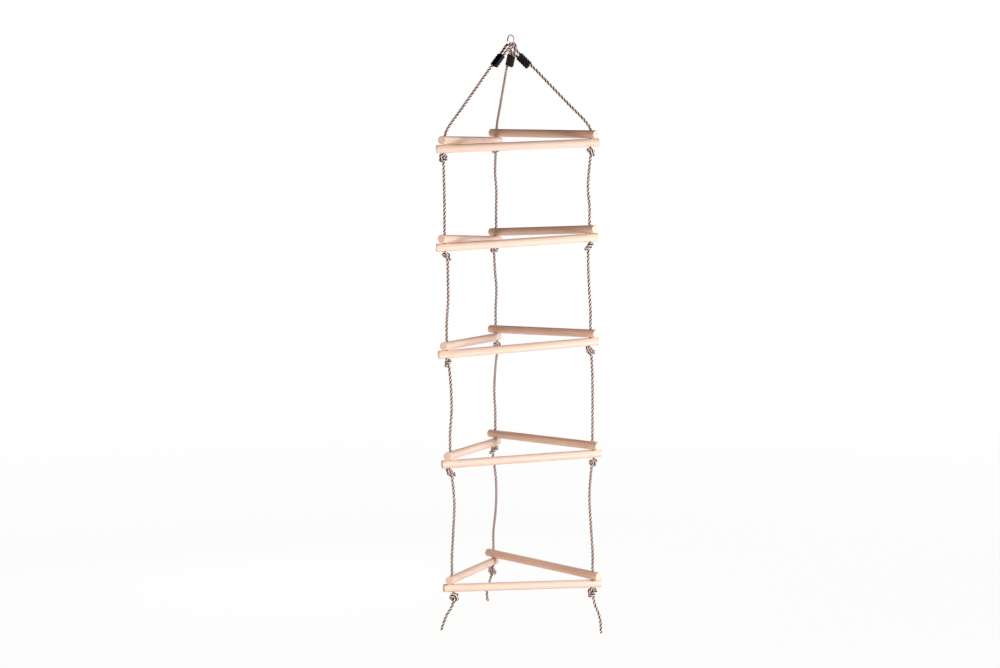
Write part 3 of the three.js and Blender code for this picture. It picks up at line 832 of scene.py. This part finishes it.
def rung_surface():
    """A closed dowel along X with two holes along Z. The round is a quarter circle at each end, and
    each end is a disc of rings about its middle. Round a hole, a square of the dowel's own grid is
    left out and filled by rings that go from the square to the hole's edge, over a 0.8 mm round,
    down the wall and out on the other side. A point at x, y on the skin has z^2 = R^2 - y^2."""
    half = RUNG_LENGTH / 2
    hole = HOLE_SPACING / 2
    turn = np.linspace(0.0, math.pi / 2, 6)
    x_half = np.concatenate((
        half - RUNG_ROUND * (1 - np.cos(turn)),
        np.linspace(half - RUNG_ROUND, hole + HOLE_HALF, 5)[1:-1],
        np.linspace(hole + HOLE_HALF, hole - HOLE_HALF, HOLE_ROWS + 1),
        np.linspace(hole - HOLE_HALF, 0.0, 13)[1:],
    ))
    r_half = np.full(len(x_half), RUNG_RADIUS)
    r_half[:len(turn)] = RUNG_RADIUS - RUNG_ROUND * (1 - np.sin(turn))
    x = np.concatenate((-x_half, x_half[-2::-1]))
    r = np.concatenate((r_half, r_half[-2::-1]))
    rows, n = len(x), RUNG_AROUND
    a = np.arange(n) * 2 * math.pi / n
    across, up = r[:, None] * np.sin(a), r[:, None] * np.cos(a)
    skin = np.stack(np.broadcast_arrays(x[:, None], across, up), axis=-1)
    index = np.arange(rows * n).reshape(rows, n)
    quads = grid_faces(rows, n)[:, ::-1].reshape(rows - 1, n, 4)
    keep = np.ones((rows - 1, n), bool)
    points = [skin.reshape(-1, 3)]
    count = rows * n
    extra = []
    first = len(turn) + 3
    for start in (first, rows - 1 - first - HOLE_ROWS):
        columns = (np.arange(-HOLE_COLUMNS, HOLE_COLUMNS) + n) % n
        keep[start:start + HOLE_ROWS][:, columns] = False
        keep[start:start + HOLE_ROWS][:, (columns + n // 2) % n] = False
        centre = (x[start] + x[start + HOLE_ROWS]) / 2
        # Once round the square, by rows and columns counted from its first corner.
        h, m = HOLE_ROWS, 2 * HOLE_COLUMNS
        i_loop = np.concatenate((np.arange(h), np.full(m, h), np.arange(h, 0, -1), np.zeros(m, int)))
        j_loop = np.concatenate((np.zeros(h, int), np.arange(m), np.full(h, m), np.arange(m, 0, -1)))
        top = index[start + i_loop, (j_loop - HOLE_COLUMNS) % n]
        low = index[start + i_loop, (n // 2 - (j_loop - HOLE_COLUMNS)) % n]
        edge_x = x[start + i_loop] - centre
        edge_y = RUNG_RADIUS * np.sin((j_loop - HOLE_COLUMNS) * 2 * math.pi / n)
        toward = np.arctan2(edge_y, edge_x)
        rim = HOLE_RADIUS + HOLE_ROUND
        rings = []
        for share in (0.3, 0.6, 0.85):
            px = edge_x + share * (rim * np.cos(toward) - edge_x)
            py = edge_y + share * (rim * np.sin(toward) - edge_y)
            rings.append((px, py, np.zeros_like(px)))
        for tilt in np.linspace(0.0, math.pi / 2, 5):
            reach = HOLE_RADIUS + HOLE_ROUND * (1 - math.sin(tilt))
            fall = np.full_like(toward, HOLE_ROUND * (1 - math.cos(tilt)))
            rings.append((reach * np.cos(toward), reach * np.sin(toward), fall))
        rings = np.array(rings)
        height = np.sqrt(RUNG_RADIUS ** 2 - rings[:, 1] ** 2) - rings[:, 2]
        upper = np.stack((centre + rings[:, 0], rings[:, 1], height), axis=-1)
        lower = upper[::-1] * (1.0, 1.0, -1.0)
        wall = [upper[-1] + share * (lower[0] - upper[-1]) for share in (0.25, 0.5, 0.75)]
        tube = np.concatenate((upper, np.array(wall), lower))
        numbers = np.vstack((top, count + np.arange(tube.shape[0] * len(top)).reshape(-1, len(top)), low))
        count += tube.shape[0] * len(top)
        points.append(tube.reshape(-1, 3))
        side = np.roll(numbers, -1, axis=1)
        ring_quads = np.stack((numbers[:-1], side[:-1], side[1:], numbers[1:]), axis=-1)
        extra.append(ring_quads.reshape(-1, 4))
    fans = []
    for end, row in ((-1.0, 0), (1.0, rows - 1)):
        radii = np.array(((0.75,), (0.5,), (0.25,))) * r[0]
        disc = np.stack((np.full((3, n), end * half), radii * np.sin(a), radii * np.cos(a)), axis=-1)
        numbers = np.vstack((index[row], count + np.arange(3 * n).reshape(3, n)))
        count += 3 * n
        points.append(disc.reshape(-1, 3))
        points.append(np.array(((end * half, 0.0, 0.0),)))
        side = np.roll(numbers, -1, axis=1)
        disc_quads = np.stack((numbers[:-1], side[:-1], side[1:], numbers[1:]), axis=-1).reshape(-1, 4)
        fan = np.stack((numbers[-1], side[-1], np.full(n, count)), axis=1)
        count += 1
        extra.append(disc_quads if end < 0 else disc_quads[:, ::-1])
        fans.append(fan if end < 0 else fan[:, ::-1])
    return np.vstack(points), np.vstack((quads[keep], *extra)), np.vstack(fans)


# Bare sanded beech, pale and slightly pink: long grain with thin darker lines along the dowel, the
# growth rings about 5 mm apart on the ends, and a dry matt finish. The fibres are 0.7 mm across and
# 36 mm long, the flecks 0.5 mm and 4 mm, and the rings wander by a few millimetres.
beech, beech_tree, beech_shader = new_material("bare_sanded_beech")
grain = add(beech_tree, "ShaderNodeAttribute", {"attribute_name": "grain"})
own = add(beech_tree, "ShaderNodeAttribute", {"attribute_name": "own_tone"})
wander = add(beech_tree, "ShaderNodeMapping", Vector=grain.outputs["Vector"], Scale=(4.0, 40.0, 40.0))
wander_noise = add(beech_tree, "ShaderNodeTexNoise", Vector=wander.outputs[0], Scale=1.0, Detail=2.0)
pith = add(
    beech_tree, "ShaderNodeMapping",
    Vector=grain.outputs["Vector"], Location=(0.0, 0.021, 0.034), Scale=(0.02, 1.0, 1.0),
)
bent = add(
    beech_tree, "ShaderNodeVectorMath", {"operation": "MULTIPLY_ADD"},
    i0=wander_noise.outputs["Color"], i1=(0.0, 0.006, 0.006), i2=pith.outputs[0],
)
rings_node = add(
    beech_tree, "ShaderNodeTexWave",
    {"wave_type": "RINGS", "rings_direction": "X", "wave_profile": "SAW"},
    Vector=bent.outputs[0], Scale=63.0, Distortion=0.8, Detail=2.0, Detail_Scale=60.0,
)
fibre = add(beech_tree, "ShaderNodeMapping", Vector=grain.outputs["Vector"], Scale=(28.0, 1500.0, 1500.0))
fibre_noise = add(
    beech_tree, "ShaderNodeTexNoise", Vector=fibre.outputs[0], Scale=1.0, Detail=3.0, Roughness=0.6
)
fleck = add(
    beech_tree, "ShaderNodeMapping", Vector=grain.outputs["Vector"], Scale=(260.0, 1900.0, 1900.0)
)
fleck_noise = add(beech_tree, "ShaderNodeTexNoise", Vector=fleck.outputs[0], Scale=1.0, Detail=1.0)
ring_tone = add(beech_tree, "ShaderNodeValToRGB", Fac=rings_node.outputs["Fac"])
ring_tone.color_ramp.elements[0].color = linear("#F7E8DD")
ring_tone.color_ramp.elements[1].color = linear("#E7CBB7")
ring_tone.color_ramp.elements[1].position = 0.95
fibre_tone = add(
    beech_tree, "ShaderNodeMapRange", Value=fibre_noise.outputs[0], i1=0.3, i2=0.7, i3=0.93, i4=1.05
)
fleck_tone = add(
    beech_tree, "ShaderNodeMapRange", Value=fleck_noise.outputs[0], i1=0.62, i2=0.75, i3=1.0, i4=0.86
)
board_tone = add(
    beech_tree, "ShaderNodeMapRange", Value=own.outputs["Fac"], i1=0.0, i2=1.0, i3=0.94, i4=1.05
)
fine_tone = add(
    beech_tree, "ShaderNodeMath", {"operation": "MULTIPLY"},
    i0=fibre_tone.outputs[0], i1=fleck_tone.outputs[0],
)
whole_tone = add(
    beech_tree, "ShaderNodeMath", {"operation": "MULTIPLY"},
    i0=fine_tone.outputs[0], i1=board_tone.outputs[0],
)
wood_colour = add(
    beech_tree, "ShaderNodeVectorMath", {"operation": "SCALE"},
    i0=ring_tone.outputs["Color"], Scale=whole_tone.outputs[0],
)
beech_tree.links.new(wood_colour.outputs[0], beech_shader.inputs["Base Color"])
wood_rough = add(
    beech_tree, "ShaderNodeMapRange", Value=fibre_noise.outputs[0], i1=0.3, i2=0.7, i3=0.62, i4=0.5
)
beech_tree.links.new(wood_rough.outputs[0], beech_shader.inputs["Roughness"])
wood_bump = add(
    beech_tree, "ShaderNodeBump", Strength=0.3, Distance=0.0001, Height=fibre_noise.outputs[0]
)
beech_tree.links.new(wood_bump.outputs[0], beech_shader.inputs["Normal"])
beech_shader.inputs["Specular IOR Level"].default_value = 0.25

rung_points, rung_quads, rung_fans = rung_surface()
for k in range(len(LEVELS)):
    sides = {
        "front": (corner("left", k, 0.0), corner("right", k, 0.0)),
        "left": (corner("left", k, STACK_STEP), corner("back", k, 0.0)),
        "right": (corner("back", k, STACK_STEP), corner("right", k, STACK_STEP)),
    }
    for place, (side, (begin, finish)) in enumerate(sides.items()):
        along = (finish - begin) / np.linalg.norm(finish - begin)
        across = np.cross(along, (0.0, 0.0, 1.0))
        across /= np.linalg.norm(across)
        basis = np.stack((along, -across, np.cross(across, along)))
        points = (begin + finish) / 2 + rung_points @ basis
        number = 3 * k + place
        # Every rung is cut from another place in the board and turned another way.
        roll = 2.4 * number
        cos, sin = math.cos(roll), math.sin(roll)
        turned = rung_points[:, 1:] @ np.array(((cos, -sin), (sin, cos)))
        grain_points = np.column_stack((rung_points[:, 0] + 1.7 * number, turned + 0.004 * (number % 4)))
        attributes = {"grain": grain_points, "own_tone": np.full(len(points), (0.618 * number) % 1.0)}
        name = f"{side}_rung_{k + 1}"
        piece = new_piece(
            f"{name}_dowel", points, rung_quads, rung_fans, [beech], attributes
        )
        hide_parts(name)
        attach(piece, "level_1" if k == 0 else f"level_{k + 1}_{side}_rung")
